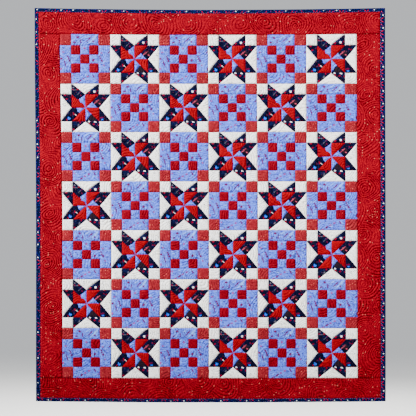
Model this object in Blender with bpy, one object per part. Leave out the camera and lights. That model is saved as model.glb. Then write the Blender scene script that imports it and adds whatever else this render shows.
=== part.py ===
# Star quilt, bound and bordered, as it hangs flat against a wall from its top edge.
# Metres, +Z up, the patchwork faces -Y and the wall is the plane y = 0. The origin is the middle of the top edge.
#
# A place on the quilt is first given flat: u runs right from the left edge, v runs down from the top edge,
# and t stands out from the wall. hung() then turns it into the place where the cloth really hangs.

import math

import bmesh
import bpy
import numpy as np
from mathutils import Vector

# Blocks: 8.5 inch squares drawn on a grid of half inches, as they measure in the hanging quilt
BLOCK_WIDTH = 0.2164
BLOCK_HEIGHT = 0.2154
BLOCK_UNITS = 17
COLUMNS = 6
ROWS = 7

# Borders, from the quilt's edge to the seam with the blocks
BORDER_LEFT = 0.1155
BORDER_RIGHT = 0.1234
BORDER_TOP = 0.1107
BORDER_BOTTOM = 0.1076

FIELD_WIDTH = COLUMNS * BLOCK_WIDTH
FIELD_HEIGHT = ROWS * BLOCK_HEIGHT
WIDTH = BORDER_LEFT + FIELD_WIDTH + BORDER_RIGHT
HEIGHT = BORDER_TOP + FIELD_HEIGHT + BORDER_BOTTOM

# Thickness: two cotton faces on wadding, pressed thin in the binding and at each seam, and lofted between seams
PIECE_GAP = 0.0003
BINDING_WIDTH = 0.0165
BINDING_LEAF = 0.0012
EDGE_THICKNESS = 0.0034
BACK_T = BINDING_LEAF + PIECE_GAP
EDGE_T = BACK_T + EDGE_THICKNESS
BINDING_T = EDGE_T + PIECE_GAP + BINDING_LEAF
SEAM_T = BACK_T + 0.0030
PATCH_LOFT = 0.0019
PATCH_SHOULDER = 0.0075
BORDER_LOFT = 0.0014

# Swirls of quilting all over, each a low dome, in rows with every other row half a step along
SWIRL_STEP = 0.120
SWIRL_ROW = 0.104
SWIRL_FIRST = 0.062
SWIRL_RADIUS = 0.040
SWIRL_LOFT = 0.0017
STRIP_STATION = SWIRL_STEP / 3

# Outline: the corners lie a little above the middle of the top and bottom edges
TOP_CORNER_LIFT = 0.0083
TOP_CORNER_FADE = 0.30
BOTTOM_CORNER_LIFT = 0.0055
BOTTOM_CORNER_FADE = 0.16

# How far each edge, hem and seam that runs down the quilt strays to the right of its even place.
# low: over its lower half. head: what is added at the top edge, less and less down to HEAD_FADE.
# middle: what is added half-way down, less and less to both ends.
HEAD_FADE = 1.0
RIGHT_STRAYS = (
    {"at": 0, "low": 0.0025, "head": -0.0065, "middle": 0},
    {"at": BINDING_WIDTH, "low": 0.0055, "head": -0.0090, "middle": 0},
    {"at": BORDER_LEFT, "low": 0.0035, "head": -0.0115, "middle": 0},
    {"at": BORDER_LEFT + BLOCK_WIDTH, "low": 0.0020, "head": -0.0060, "middle": 0},
    {"at": BORDER_LEFT + 2 * BLOCK_WIDTH, "low": -0.0015, "head": -0.0030, "middle": 0.0008},
    {"at": BORDER_LEFT + 3 * BLOCK_WIDTH, "low": -0.0025, "head": -0.0040, "middle": 0.0008},
    {"at": BORDER_LEFT + 4 * BLOCK_WIDTH, "low": -0.0035, "head": -0.0060, "middle": 0},
    {"at": BORDER_LEFT + 5 * BLOCK_WIDTH, "low": -0.0035, "head": -0.0040, "middle": -0.0012},
    {"at": WIDTH - BORDER_RIGHT, "low": 0.0020, "head": -0.0045, "middle": -0.0022},
    {"at": WIDTH - BINDING_WIDTH, "low": -0.0030, "head": -0.0020, "middle": 0},
    {"at": WIDTH, "low": 0.0020, "head": -0.0020, "middle": 0},
)

# How far the seams inside a block stray right and down of their even places, by units of the block
BLOCK_STRAYS = (
    {"at": 0, "right": 0, "down": 0},
    {"at": 4, "right": -0.0035, "down": -0.0032},
    {"at": 7, "right": -0.0019, "down": -0.0013},
    {"at": 10, "right": -0.0009, "down": 0},
    {"at": 13, "right": 0.0009, "down": 0.0024},
    {"at": BLOCK_UNITS, "right": 0, "down": 0},
)

# How far each seam that runs across the quilt strays above its even place
UP_STRAYS = (
    {"at": BORDER_TOP, "up": 0},
    {"at": BORDER_TOP + BLOCK_HEIGHT, "up": 0.0010},
    {"at": BORDER_TOP + 2 * BLOCK_HEIGHT, "up": 0.0040},
    {"at": BORDER_TOP + 3 * BLOCK_HEIGHT, "up": 0.0025},
    {"at": BORDER_TOP + 4 * BLOCK_HEIGHT, "up": 0.0035},
    {"at": BORDER_TOP + 5 * BLOCK_HEIGHT, "up": 0.0030},
    {"at": BORDER_TOP + 6 * BLOCK_HEIGHT, "up": 0.0038},
    {"at": HEIGHT - BORDER_BOTTOM, "up": 0},
)

# Soft upright folds. They start below the head and are deepest at the hem.
# across: place of the fold at the hem, as a share of the width. drift: how far its head lies to the right.
FOLD_HEAD = 0.06
FOLDS = (
    {"across": 0.04, "drift": 0.10, "half_width": 0.26, "depth": 0.0045},
    {"across": 0.33, "drift": -0.06, "half_width": 0.30, "depth": 0.0070},
    {"across": 0.64, "drift": 0.05, "half_width": 0.26, "depth": 0.0050},
    {"across": 0.96, "drift": -0.08, "half_width": 0.30, "depth": 0.0080},
)

# Colours read from the photograph, as linear values
FIELD_BLUE = (0.270, 0.330, 0.600)
BORDER_RED = (0.413, 0.006, 0.009)
BINDING_NAVY = (0.012, 0.020, 0.085)


def eased(share):
    share = min(max(share, 0.0), 1.0)
    return share * share * (3 - 2 * share)


# A smooth rise and fall: 1 in the middle, 0 at a distance of 1 and beyond
def swell(distance):
    return math.cos(min(abs(distance), 1.0) * math.pi / 2) ** 2


def fold_depth(u, v):
    below_head = eased((v - FOLD_HEAD) / (HEIGHT - FOLD_HEAD))
    depth = 0.0
    for fold in FOLDS:
        place = (fold["across"] + fold["drift"] * (1 - v / HEIGHT)) * WIDTH
        depth += fold["depth"] * swell((u - place) / fold["half_width"])
    return depth * below_head


# A table's column at a place between its rows, where it runs straight from row to row
def read_table(rows, column, place):
    return np.interp(place, [row["at"] for row in rows], [row[column] for row in rows])


# Where a place lies inside its block, in units of the block, and 0 in the borders
def in_block(place, start, end, block):
    if not start < place < end:
        return 0
    return (place - start) / block % 1 * BLOCK_UNITS


def hung(u, v, t):
    from_middle = (2 * u / WIDTH - 1) ** 2
    lift = TOP_CORNER_LIFT * from_middle * (1 - eased(v / TOP_CORNER_FADE))
    lift += BOTTOM_CORNER_LIFT * from_middle * (1 - eased((HEIGHT - v) / BOTTOM_CORNER_FADE))
    lift += read_table(UP_STRAYS, "up", v)
    at_head = 1 - eased(v / HEAD_FADE)
    at_middle = math.sin(math.pi * v / HEIGHT) ** 2
    stray = read_table(RIGHT_STRAYS, "low", u) + at_head * read_table(RIGHT_STRAYS, "head", u)
    stray += at_middle * read_table(RIGHT_STRAYS, "middle", u)
    across = in_block(u, BORDER_LEFT, WIDTH - BORDER_RIGHT, BLOCK_WIDTH)
    down = in_block(v, BORDER_TOP, HEIGHT - BORDER_BOTTOM, BLOCK_HEIGHT)
    stray += read_table(BLOCK_STRAYS, "right", across)
    lift -= read_table(BLOCK_STRAYS, "down", down)
    return Vector((u - WIDTH / 2 + stray, -(t + fold_depth(u, v)), lift - v))


# How far the nearest swirl of quilting lifts the cloth
def swirl_loft(u, v):
    row = round((v - SWIRL_FIRST) / SWIRL_ROW)
    loft = 0.0
    for near in (row - 1, row, row + 1):
        start = SWIRL_FIRST + (near % 2) * SWIRL_STEP / 2
        along = (u - start) / SWIRL_STEP
        away = math.hypot((along - round(along)) * SWIRL_STEP, v - SWIRL_FIRST - near * SWIRL_ROW)
        loft = max(loft, SWIRL_LOFT * (1 - (away / SWIRL_RADIUS) ** 2))
    return loft


def material(name, colour, roughness):
    made = bpy.data.materials.new(name)
    made.use_nodes = True
    shader = made.node_tree.nodes["Principled BSDF"]
    shader.inputs["Base Color"].default_value = (*colour, 1)
    shader.inputs["Roughness"].default_value = roughness
    shader.inputs["Metallic"].default_value = 0
    return made


def finished(name, bm, cloth):
    bmesh.ops.recalc_face_normals(bm, faces=bm.faces)
    bmesh.ops.triangulate(bm, faces=bm.faces, quad_method="BEAUTY", ngon_method="BEAUTY")
    mesh = bpy.data.meshes.new(name)
    bm.to_mesh(mesh)
    bm.free()
    mesh.shade_smooth()
    mesh.set_sharp_from_angle(angle=math.radians(50))
    mesh.materials.append(cloth)
    piece = bpy.data.objects.new(name, mesh)
    bpy.context.scene.collection.objects.link(piece)
    return piece


# A patch is its outline in grid units of its block: x to the right, y down


def rectangle(left, top, right, bottom):
    return [(left, top), (right, top), (right, bottom), (left, bottom)]


def quarter_turned(outline, turns):
    for _ in range(turns):
        outline = [(BLOCK_UNITS - y, x) for x, y in outline]
    return outline


CORNER = 4
MIDDLE = BLOCK_UNITS / 2
FAR = BLOCK_UNITS - CORNER
NINE_PATCH = (FAR - CORNER) / 3
QUARTER = (CORNER + MIDDLE) / 2


def chain_block():
    patches = []
    first = CORNER + NINE_PATCH
    second = CORNER + 2 * NINE_PATCH
    side = [(CORNER, 0), (FAR, 0), (FAR, CORNER), (second, CORNER), (first, CORNER), (CORNER, CORNER)]
    for turns in range(4):
        patches.append(quarter_turned(rectangle(0, 0, CORNER, CORNER), turns))
        patches.append(quarter_turned(side, turns))
    edges = (CORNER, first, second, FAR)
    for left, right in zip(edges, edges[1:]):
        for top, bottom in zip(edges, edges[1:]):
            patches.append(rectangle(left, top, right, bottom))
    return patches


def star_block():
    outlines = (
        rectangle(0, 0, CORNER, CORNER),
        [(CORNER, 0), (FAR, 0), (MIDDLE, CORNER)],
        [(CORNER, 0), (MIDDLE, CORNER), (CORNER, CORNER)],
        [(FAR, 0), (FAR, CORNER), (MIDDLE, CORNER)],
        [(CORNER, CORNER), (QUARTER, QUARTER), (MIDDLE, MIDDLE), (CORNER, MIDDLE)],
        [(CORNER, CORNER), (MIDDLE, CORNER), (QUARTER, QUARTER)],
        [(MIDDLE, CORNER), (MIDDLE, MIDDLE), (QUARTER, QUARTER)],
    )
    return [quarter_turned(outline, turns) for turns in range(4) for outline in outlines]


def field_place(column, row, x, y):
    return (
        BORDER_LEFT + PIECE_GAP / 2 + (column + x / BLOCK_UNITS) * (FIELD_WIDTH - PIECE_GAP) / COLUMNS,
        BORDER_TOP + PIECE_GAP / 2 + (row + y / BLOCK_UNITS) * (FIELD_HEIGHT - PIECE_GAP) / ROWS,
    )


# The blocks, sewn together: each patch lofts between its seams, over one plain back
def build_field(cloth):
    bm = bmesh.new()
    for row in range(ROWS):
        for column in range(COLUMNS):
            block = star_block() if (row + column) % 2 else chain_block()
            for outline in block:
                corners = [(*field_place(column, row, x, y), SEAM_T) for x, y in outline]
                bm.faces.new([bm.verts.new(corner) for corner in corners])
    bmesh.ops.remove_doubles(bm, verts=bm.verts, dist=1e-5)

    patches = bm.faces[:]
    bmesh.ops.inset_individual(bm, faces=patches, thickness=PATCH_SHOULDER, use_even_offset=True)
    for corner in {corner for patch in patches for corner in patch.verts}:
        corner.co.z += PATCH_LOFT + swirl_loft(corner.co.x, corner.co.y)

    rim = [edge for edge in bm.edges if edge.is_boundary]
    walls = bmesh.ops.extrude_edge_only(bm, edges=rim)["geom"]
    for part in walls:
        if isinstance(part, bmesh.types.BMVert):
            part.co.z = BACK_T

    seams = (0, CORNER, FAR)
    across = [(column, x) for column in range(COLUMNS) for x in seams] + [(COLUMNS, 0)]
    down = [(row, y) for row in range(ROWS) for y in seams] + [(ROWS, 0)]
    for (left, left_x), (right, right_x) in zip(across, across[1:]):
        for (top, top_y), (bottom, bottom_y) in zip(down, down[1:]):
            corners = (
                field_place(left, top, left_x, top_y),
                field_place(right, top, right_x, top_y),
                field_place(right, bottom, right_x, bottom_y),
                field_place(left, bottom, left_x, bottom_y),
            )
            bm.faces.new([bm.verts.new((*corner, BACK_T)) for corner in corners])
    bmesh.ops.remove_doubles(bm, verts=bm.verts, dist=1e-5)

    for vert in bm.verts:
        vert.co = hung(*vert.co)
    return finished("pieced_blocks", bm, cloth)


# A strip whose closed section is carried along its length: each ring is one section, as (u, v, t) points
def build_strip(name, rings, cloth):
    bm = bmesh.new()
    sections = [[bm.verts.new(hung(*point)) for point in ring] for ring in rings]
    for near, far in zip(sections, sections[1:]):
        for index in range(len(near)):
            after = (index + 1) % len(near)
            bm.faces.new((near[index], near[after], far[after], far[index]))
    bm.faces.new(sections[0])
    bm.faces.new(sections[-1])
    return finished(name, bm, cloth)


# Even stations about a swirl step's third apart, with a station where the binding's mouth lies
def stations(start, end, mouth_at_ends):
    inner_start = start + BINDING_WIDTH + BINDING_LEAF if mouth_at_ends else start
    inner_end = end - BINDING_WIDTH - BINDING_LEAF if mouth_at_ends else end
    count = round((inner_end - inner_start) / STRIP_STATION)
    inner = [inner_start + (inner_end - inner_start) * index / count for index in range(count + 1)]
    return [start, *inner, end] if mouth_at_ends else inner


# The section of a border strip: under the binding, out of its mouth, over the loft and down to the seam
def border_section(side, along, border_width, pressed):
    edge = BINDING_LEAF + PIECE_GAP
    mouth = BINDING_WIDTH + BINDING_LEAF
    seam = border_width - PIECE_GAP / 2
    section = [(edge, BACK_T), (edge, EDGE_T), (mouth, EDGE_T)]
    for share in (0.16, 0.38, 0.62, 0.86):
        inward = mouth + share * (seam - mouth)
        u, v, _ = side_place(side, along, inward, 0)
        loft = 0.0 if pressed else BORDER_LOFT + swirl_loft(u, v)
        section.append((inward, EDGE_T + loft))
    section += [(seam, EDGE_T if pressed else SEAM_T), (seam, BACK_T), (mouth, BACK_T)]
    return section


# Top and bottom strips run the full width, and the side strips lie between them
def build_border(side, cloth):
    edge = BINDING_LEAF + PIECE_GAP
    across = side in ("top", "bottom")
    if across:
        places = stations(edge, WIDTH - edge, True)
    else:
        top_seam = BORDER_TOP + PIECE_GAP / 2
        bottom_seam = HEIGHT - BORDER_BOTTOM - PIECE_GAP / 2
        places = stations(top_seam, bottom_seam, False)
    border_width = {
        "top": BORDER_TOP,
        "bottom": BORDER_BOTTOM,
        "left": BORDER_LEFT,
        "right": BORDER_RIGHT,
    }[side]
    rings = []
    for index, along in enumerate(places):
        pressed = across and index in (0, 1, len(places) - 2, len(places) - 1)
        section = border_section(side, along, border_width, pressed)
        rings.append([side_place(side, along, inward, t) for inward, t in section])
    return build_strip(f"border_{side}", rings, cloth)


# A place on one side of the quilt, from how far along it lies and how far in from the edge
def side_place(side, along, inward, t):
    return {
        "top": (along, inward, t),
        "bottom": (along, HEIGHT - inward, t),
        "left": (inward, along, t),
        "right": (WIDTH - inward, along, t),
    }[side]


# The binding's folded section, wrapped round the edge: two leaves and the fold between them
def binding_section():
    fold = BINDING_LEAF
    return [
        (0, fold),
        (0, BINDING_T - fold),
        (fold, BINDING_T),
        (BINDING_WIDTH, BINDING_T),
        (BINDING_WIDTH, BINDING_T - fold),
        (fold, BINDING_T - fold),
        (fold, fold),
        (BINDING_WIDTH, fold),
        (BINDING_WIDTH, 0),
        (fold, 0),
    ]


# Each side's binding is mitred at both corners, and shares the stations of the borders that it grips
def build_binding(side, cloth):
    mitre_gap = PIECE_GAP * 0.75
    if side in ("top", "bottom"):
        length = WIDTH
        places = stations(BACK_T, WIDTH - BACK_T, True)[1:-1]
    else:
        length = HEIGHT
        top_seam = BORDER_TOP + PIECE_GAP / 2
        bottom_seam = HEIGHT - BORDER_BOTTOM - PIECE_GAP / 2
        mouth = BINDING_WIDTH + BINDING_LEAF
        corner_half = (mouth + BORDER_TOP) / 2
        places = [mouth, corner_half, *stations(top_seam, bottom_seam, False), length - corner_half, length - mouth]
    rings = [[side_place(side, inward + mitre_gap, inward, t) for inward, t in binding_section()]]
    for along in places:
        rings.append([side_place(side, along, inward, t) for inward, t in binding_section()])
    rings.append([side_place(side, length - inward - mitre_gap, inward, t) for inward, t in binding_section()])
    return build_strip(f"binding_{side}", rings, cloth)


def build_quilt():
    for old in list(bpy.data.objects):
        bpy.data.objects.remove(old)
    pieced = material("pieced_cotton", FIELD_BLUE, 0.9)
    red = material("red_cotton", BORDER_RED, 0.9)
    navy = material("navy_print_cotton", BINDING_NAVY, 0.85)
    build_field(pieced)
    for side in ("top", "bottom", "left", "right"):
        build_border(side, red)
        build_binding(side, navy)


build_quilt()
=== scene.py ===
import math

import bmesh
import bpy
import numpy as np
from mathutils import Matrix, Vector


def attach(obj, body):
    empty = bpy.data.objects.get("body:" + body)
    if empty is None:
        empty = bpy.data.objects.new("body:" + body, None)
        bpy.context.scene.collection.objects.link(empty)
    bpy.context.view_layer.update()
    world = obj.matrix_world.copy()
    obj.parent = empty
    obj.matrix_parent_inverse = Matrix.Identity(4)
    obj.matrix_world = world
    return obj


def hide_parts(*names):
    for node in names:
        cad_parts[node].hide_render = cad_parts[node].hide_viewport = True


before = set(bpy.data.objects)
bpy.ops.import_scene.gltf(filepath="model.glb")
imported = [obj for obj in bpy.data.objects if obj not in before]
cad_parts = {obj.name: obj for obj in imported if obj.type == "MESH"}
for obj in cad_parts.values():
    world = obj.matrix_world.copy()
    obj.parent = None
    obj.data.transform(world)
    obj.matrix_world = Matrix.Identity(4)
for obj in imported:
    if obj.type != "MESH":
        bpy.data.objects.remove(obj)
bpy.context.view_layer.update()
print("frame loaded")

# A star quilt, hung flat. Every cloth is drawn flat first: x right from the left edge, y up from the
# top edge (so down the quilt is negative), z out from the wall. hang() then gives its place in the frame.

quilt = {
    "blockWidth": 0.2164,
    "blockHeight": 0.2154,
    "columns": 6,
    "rows": 7,
    "left": 0.1155,  # borders, from the edge to the seam with the blocks
    "right": 0.1234,
    "top": 0.1107,
    "bottom": 0.1076,
    "backOut": 0.0015,  # distances out from the wall
    "seamOut": 0.0045,
    "edgeOut": 0.0049,
    "bindingOut": 0.0064,
    "bindingWidth": 0.0165,
}
fieldWidth = quilt["columns"] * quilt["blockWidth"]
fieldHeight = quilt["rows"] * quilt["blockHeight"]
quiltWidth = quilt["left"] + fieldWidth + quilt["right"]
quiltHeight = quilt["top"] + fieldHeight + quilt["bottom"]

# How the cloth strays from a true rectangle as it hangs, and its soft upright folds
hanging = {
    "topCornerLift": 0.0083,
    "topCornerFade": 0.3,
    "bottomCornerLift": 0.0055,
    "bottomCornerFade": 0.16,
    # edge, binding's hem, seven seams, hem, edge: to the right low down, then what head and middle add
    "rightStrayLow": (
        0.0025, 0.0055, 0.0035, 0.002, -0.0015, -0.0025, -0.0035, -0.0035, 0.002, -0.003, 0.002,
    ),
    "rightStrayHead": (
        -0.0065, -0.009, -0.0115, -0.006, -0.003, -0.004, -0.006, -0.004, -0.0045, -0.002, -0.002,
    ),
    "rightStrayMiddle": (0, 0, 0, 0, 0.0008, 0.0008, 0, -0.0012, -0.0022, 0, 0),
    "headFade": 1.0,
    # the eight seams across, upwards
    "upStray": (0, 0.001, 0.004, 0.0025, 0.0035, 0.003, 0.0038, 0),
    # the seams inside a block, at these units of it: to the right and downwards
    "blockLines": (0, 4, 7, 10, 13, 17),
    "blockRight": (0, -0.0035, -0.0019, -0.0009, 0.0009, 0),
    "blockDown": (0, -0.0032, -0.0013, 0, 0.0024, 0),
    "foldHead": 0.06,
    "folds": (  # across at the hem, drift of its head, half width, depth
        (0.04, 0.1, 0.26, 0.0045),
        (0.33, -0.06, 0.3, 0.007),
        (0.64, 0.05, 0.26, 0.005),
        (0.96, -0.08, 0.3, 0.008),
    ),
}

seamsAcross = quilt["left"] + quilt["blockWidth"] * np.arange(quilt["columns"] + 1)
seamsDown = quilt["top"] + quilt["blockHeight"] * np.arange(quilt["rows"] + 1)
hems = quilt["bindingWidth"], quiltWidth - quilt["bindingWidth"]
linesAcross = np.array((0, hems[0], *seamsAcross, hems[1], quiltWidth))


def eased(share):
    share = np.clip(share, 0, 1)
    return share * share * (3 - 2 * share)


def swell(distance):
    return np.cos(np.clip(np.abs(distance), 0, 1) * math.pi / 2) ** 2


def inBlock(place, seams):
    unit = (place - seams[0]) / (seams[1] - seams[0]) % 1 * hanging["blockLines"][-1]
    return np.where((place > seams[0]) & (place < seams[-1]), unit, 0)


def hang(flat):
    across, down, out = flat[:, 0], -flat[:, 1], flat[:, 2]
    fromMiddle = (2 * across / quiltWidth - 1) ** 2
    high = 1 - eased(down / hanging["topCornerFade"])
    low = 1 - eased((quiltHeight - down) / hanging["bottomCornerFade"])
    lift = hanging["topCornerLift"] * fromMiddle * high + hanging["bottomCornerLift"] * fromMiddle * low
    lift += np.interp(down, seamsDown, hanging["upStray"])
    atHead = 1 - eased(down / hanging["headFade"])
    stray = np.interp(across, linesAcross, hanging["rightStrayHead"]) * atHead
    stray += np.interp(across, linesAcross, hanging["rightStrayLow"])
    atMiddle = np.sin(math.pi * down / quiltHeight) ** 2
    stray += np.interp(across, linesAcross, hanging["rightStrayMiddle"]) * atMiddle
    stray += np.interp(inBlock(across, seamsAcross), hanging["blockLines"], hanging["blockRight"])
    lift -= np.interp(inBlock(down, seamsDown), hanging["blockLines"], hanging["blockDown"])
    fold = np.zeros(len(flat))
    for place, drift, halfWidth, depth in hanging["folds"]:
        middle = (place + drift * (1 - down / quiltHeight)) * quiltWidth
        fold += depth * swell((across - middle) / halfWidth)
    fold *= eased((down - hanging["foldHead"]) / (quiltHeight - hanging["foldHead"]))
    return np.column_stack((across - quiltWidth / 2 + stray, -(out + fold), lift - down))


# Camera and light

view = {
    "imageWidth": 416,
    "pixel": 0.004398,  # metres of quilt in one pixel
    "originAt": (210.3, 9.9),  # the pixel where the middle of the top edge lies
    "distance": 9.0,
}


def addObject(name, data):
    made = bpy.data.objects.new(name, data)
    bpy.context.scene.collection.objects.link(made)
    return made


def addCamera():
    data = bpy.data.cameras.new("frontView")
    data.sensor_width = 36
    data.lens = 36 * view["distance"] / (view["imageWidth"] * view["pixel"])
    camera = addObject("frontView", data)
    middle = view["imageWidth"] / 2
    right = (middle - view["originAt"][0]) * view["pixel"]
    up = (view["originAt"][1] - middle) * view["pixel"]
    camera.location = (right, -view["distance"], up)
    camera.rotation_euler = (math.pi / 2, 0, 0)
    bpy.context.scene.camera = camera


studio = {
    # the key is a soft-edged beam aimed above the quilt, so its light falls off towards the hem
    "key": {
        "place": (-8.5, -4.6, 3.8), "aim": (-3.5, 0, 2.42), "size": 0.8, "power": 22500, "beam": (48.8, 0.285)
    },
    "side": {"place": (2.2, -2.0, 0.5), "aim": (0, 0, -0.6), "size": 1.2, "power": 90},
    "back": {"place": (0.6, 3.6, 1.2), "aim": (0, 0, -0.9), "size": 3.0, "power": 300},
    "skyColour": (0.8, 0.82, 0.85),
    "skyStrength": 0.75,
    "floorDown": 2.05,
    "floorRadius": 9.0,
    "floorFade": (2.5, 8.5),
    "floorColour": (0.7, 0.69, 0.67),
}


def addLight(name, place, aim, size, power, beam=None):
    data = bpy.data.lights.new(name, "SPOT" if beam else "AREA")
    if beam:
        data.spot_size = math.radians(beam[0])
        data.spot_blend = beam[1]
        data.shadow_soft_size = size / 2
    else:
        data.shape = "DISK"
        data.size = size
    data.energy = power
    lamp = addObject(name, data)
    lamp.location = place
    lamp.rotation_euler = (Vector(aim) - Vector(place)).to_track_quat("-Z", "Y").to_euler()


# Shader maths as plain expressions: a socket with operators, and one method for every other node


class Socket:
    def __init__(self, tree, link=None):
        self.tree = tree
        self.link = link

    def node(self, kind, settings=None, sockets=None, output=0):
        made = self.tree.nodes.new("ShaderNode" + kind)
        for name, value in (settings or {}).items():
            setattr(made, name, value)
        for name, value in (sockets or {}).items():
            if isinstance(value, Socket):
                self.tree.links.new(value.link, made.inputs[name])
            else:
                made.inputs[name].default_value = value
        return Socket(self.tree, made.outputs[output])

    def math(self, operation, *values):
        return self.node("Math", {"operation": operation}, dict(enumerate(values)))

    def __add__(self, other):
        return self.math("ADD", self, other)

    def __sub__(self, other):
        return self.math("SUBTRACT", self, other)

    def __rsub__(self, other):
        return self.math("SUBTRACT", other, self)

    def __mul__(self, other):
        return self.math("MULTIPLY", self, other)

    def __truediv__(self, other):
        return self.math("DIVIDE", self, other)

    def __abs__(self):
        return self.math("ABSOLUTE", self)

    def __gt__(self, other):
        return self.math("GREATER_THAN", self, other)

    def larger(self, other):
        return self.math("MAXIMUM", self, other)

    def smooth(self, low, high):  # 0 below low, 1 above high
        return self.node("MapRange", {"interpolation_type": "SMOOTHSTEP"}, {0: self, 1: low, 2: high})

    def between(self, first, second):  # the colour self of the way from first to second
        return self.node("Mix", {"data_type": "RGBA"}, {0: self, 6: first, 7: second}, 2)

    def tinted(self, colour, amount):  # self is a colour, multiplied by another by that amount
        settings = {"data_type": "RGBA", "blend_type": "MULTIPLY"}
        return self.node("Mix", settings, {0: amount, 6: self, 7: colour}, 2)

    def channel(self, index):
        return self.node("SeparateColor", None, {0: self}, index)

    def axis(self, index):
        return self.node("SeparateXYZ", None, {0: self}, index)

    def length(self):
        return self.node("VectorMath", {"operation": "LENGTH"}, {0: self}, 1)

    def scaled(self, amount):
        return self.node("VectorMath", {"operation": "SCALE"}, {0: self, "Scale": amount})

    def moved(self, other):
        return self.node("VectorMath", {"operation": "ADD"}, {0: self, 1: other})


def paint(red, green, blue):  # a colour as it shows on screen, 0 to 255, made linear for the shader
    linear = []
    for shade in (red, green, blue):
        shade /= 255
        linear.append(shade / 12.92 if shade <= 0.04045 else ((shade + 0.055) / 1.055) ** 2.4)
    return (*linear, 1)


# One colour over another where the mask is 1, each a socket or the name of a colour of the cloth
def dyed(cloth, mask, under, over):
    both = [paint(*cloth[colour]) if isinstance(colour, str) else colour for colour in (under, over)]
    return mask.between(*both)


# Cotton: what all the fabrics share

cotton = {
    "roughness": 0.9,
    "sheen": 0.05,
    "sheenRoughness": 0.6,
    "gloss": 0.15,
    "threadPitch": 0.00055,
    "weaveDepth": 0.0001,
    "stitchPitch": 0.0102,  # between the lines of quilting
    "stitchLength": 0.0028,
    "stitchDepth": 0.003,
    "stitchWidth": 0.0011,
    # painted shade in the quilting grooves: the colour multiplied in there; each cloth's crease says how much
    # of it that cloth takes
    "paintedCreaseShade": (0.1, 0.08, 0.1, 1),
    "creaseReach": 0.0034,
    "creaseBreaks": 105,  # how finely a crease comes and goes along its line
    "creaseFades": 11,
    # painted shade next to the seams: the colour multiplied in out to seamReach; each cloth's seam says how
    # much of it that cloth takes
    "paintedSeamShade": (0.3, 0.27, 0.3, 1),
    "seamReach": 0.0026,
}


def newMaterial(name):
    made = bpy.data.materials.new(name)
    made.use_nodes = True
    return made, Socket(made.node_tree)


def newCloth(name):  # a fabric's material, and its place in flat metres on the cloth
    material, nodes = newMaterial(name)
    return material, nodes.node("UVMap", {"uv_map": "cloth"})


def noise(place, scale, detail=2.0, distortion=0.0, output=0):
    sockets = {"Vector": place, "Scale": scale, "Detail": detail, "Distortion": distortion}
    return place.node("TexNoise", {"noise_dimensions": "2D"}, sockets, output)


def stretched(place, turn, scale):
    sockets = {"Vector": place, "Rotation": (0, 0, math.radians(turn)), "Scale": (*scale, 1)}
    return place.node("Mapping", None, sockets)


# Lines of quilting: the swirl map holds each place relative to the middle of its swirl
def quiltingLines(nodes):
    pitch = cotton["stitchPitch"]
    place = nodes.node("UVMap", {"uv_map": "swirl"})
    turn = nodes.math("ARCTAN2", place.axis(1), place.axis(0)) / (2 * math.pi)
    ring = place.length() / pitch - turn
    nearest = nodes.math("ROUND", ring, 0.0)
    away = abs(ring - nearest) * pitch
    groove = 1 - away.smooth(0.0, cotton["creaseReach"])
    onLine = (nearest + turn) * pitch
    along = nodes.math("FRACT", onLine * onLine * (math.pi / pitch / cotton["stitchLength"]), 0.0)
    thread = 1 - away.smooth(0.25 * cotton["stitchWidth"], 0.55 * cotton["stitchWidth"])
    dash = abs(along - 0.5).smooth(0.1, 0.2)
    return groove, thread * dash


# The finish that every fabric ends with: thread on the quilting, painted shade in the seams and the quilting
# grooves, weave and grooves
def finishCloth(place, material, colour, cloth, quilted=True):
    shader = material.node_tree.nodes["Principled BSDF"]
    tint = paint(*cloth["gloss"])
    turns = 2 * math.pi / cotton["threadPitch"]
    weave = place.math("SINE", place.axis(0) * turns, 0.0) * place.math("SINE", place.axis(1) * turns, 0.0)
    slub = noise(stretched(place, 0, (1, 9)), 160, 3)
    height = weave * (0.5 * cotton["weaveDepth"]) + slub * (0.8 * cotton["weaveDepth"])
    colour = slub.smooth(0.3, 0.75).between(colour.tinted((0.9, 0.9, 0.91, 1), 1.0), colour)
    if quilted:
        groove, thread = quiltingLines(place)
        seam = place.node("Attribute", {"attribute_name": "seamGap"}, None, 2)
        # painted seam shade: full at the seam, gone at seamReach
        paintedSeamShade = 1 - seam.smooth(0.0, cloth.get("seamReach", cotton["seamReach"]))
        broken = noise(place, cotton["creaseBreaks"], 1).smooth(0.38, 0.6) * 0.85 + 0.15
        faded = noise(place, cotton["creaseFades"], 1).smooth(0.32, 0.66) * 0.8 + 0.2
        # painted shade in the quilting grooves, broken and faded along them
        colour = colour.tinted(cotton["paintedCreaseShade"], groove * broken * faded * cloth["crease"])
        colour = dyed(cloth, thread * 0.35, colour, "thread")
        # painted shade along the seams
        colour = colour.tinted(cloth.get("paintedSeamShade", cotton["paintedSeamShade"]), paintedSeamShade * cloth["seam"])
        dented = groove * faded * (broken * 0.6 + 0.4)
        height = height - dented * (cotton["stitchDepth"] * cloth["stitch"]) + thread * 0.00025
    bump = place.node("Bump", None, {"Strength": 1.0, "Distance": 1.0, "Height": height})
    rough = slub * 0.1 + (cotton["roughness"] - 0.05)
    for name, socket in {"Base Color": colour, "Normal": bump, "Roughness": rough}.items():
        place.tree.links.new(socket.link, shader.inputs[name])
    for name in ("Sheen Tint", "Specular Tint"):
        shader.inputs[name].default_value = tint
    shader.inputs["Sheen Weight"].default_value = cotton["sheen"]
    shader.inputs["Sheen Roughness"].default_value = cotton["sheenRoughness"]
    shader.inputs["Specular IOR Level"].default_value = cotton["gloss"]
    return material


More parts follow.
